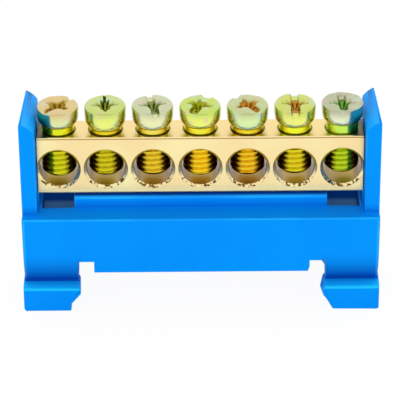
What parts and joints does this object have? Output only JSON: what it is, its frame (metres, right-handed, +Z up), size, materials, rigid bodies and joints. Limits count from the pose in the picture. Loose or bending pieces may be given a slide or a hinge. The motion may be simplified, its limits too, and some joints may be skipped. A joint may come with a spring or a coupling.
{
  "type": "din rail terminal block",
  "caption": "Brass terminal bar with a row of clamp screws, held between the cheeks of a moulded base that clips onto a 35 mm rail.",
  "frame": {"origin": "centre of the footprint at the underside of the feet", "axes": "+X along the bar and across the rail's width, +Y from the front wire mouths to the back, +Z up along the screws"},
  "size_m": [0.051, 0.014, 0.0302],
  "materials": {
    "blue_moulding": "moulded nylon, smooth, slightly glossy, drawn with a polish along its edges",
    "bar_brass": "extruded brass bar, fine brushed faces with bright chamfered holes",
    "plated_screw": "steel screw with yellow chromate plating, iridescent green and gold"
  },
  "bodies": {
    "block": {"mounting_base": "blue_moulding", "terminal_bar": "bar_brass"},
    "screw_1": {"clamp_screw_1": "plated_screw"},
    "screw_2": {"clamp_screw_2": "plated_screw"},
    "screw_3": {"clamp_screw_3": "plated_screw"},
    "screw_4": {"clamp_screw_4": "plated_screw"},
    "screw_5": {"clamp_screw_5": "plated_screw"},
    "screw_6": {"clamp_screw_6": "plated_screw"},
    "screw_7": {"clamp_screw_7": "plated_screw"}
  },
  "joints": [
    {"name": "screw_1_travel", "type": "slide", "parent": "block", "child": "screw_1", "axis": [0, 0, 1], "range_m": [-0.0001, 0.0045]},
    {"name": "screw_2_travel", "type": "slide", "parent": "block", "child": "screw_2", "axis": [0, 0, 1], "range_m": [-0.0002, 0.0045]},
    {"name": "screw_3_travel", "type": "slide", "parent": "block", "child": "screw_3", "axis": [0, 0, 1], "range_m": [-0.0002, 0.0045]},
    {"name": "screw_4_travel", "type": "slide", "parent": "block", "child": "screw_4", "axis": [0, 0, 1], "range_m": [-0.0001, 0.0045]},
    {"name": "screw_5_travel", "type": "slide", "parent": "block", "child": "screw_5", "axis": [0, 0, 1], "range_m": [-0.0001, 0.0045]},
    {"name": "screw_6_travel", "type": "slide", "parent": "block", "child": "screw_6", "axis": [0, 0, 1], "range_m": [-0.00022, 0.0045]},
    {"name": "screw_7_travel", "type": "slide", "parent": "block", "child": "screw_7", "axis": [0, 0, 1], "range_m": [-0.0004, 0.0045]}
  ]
}
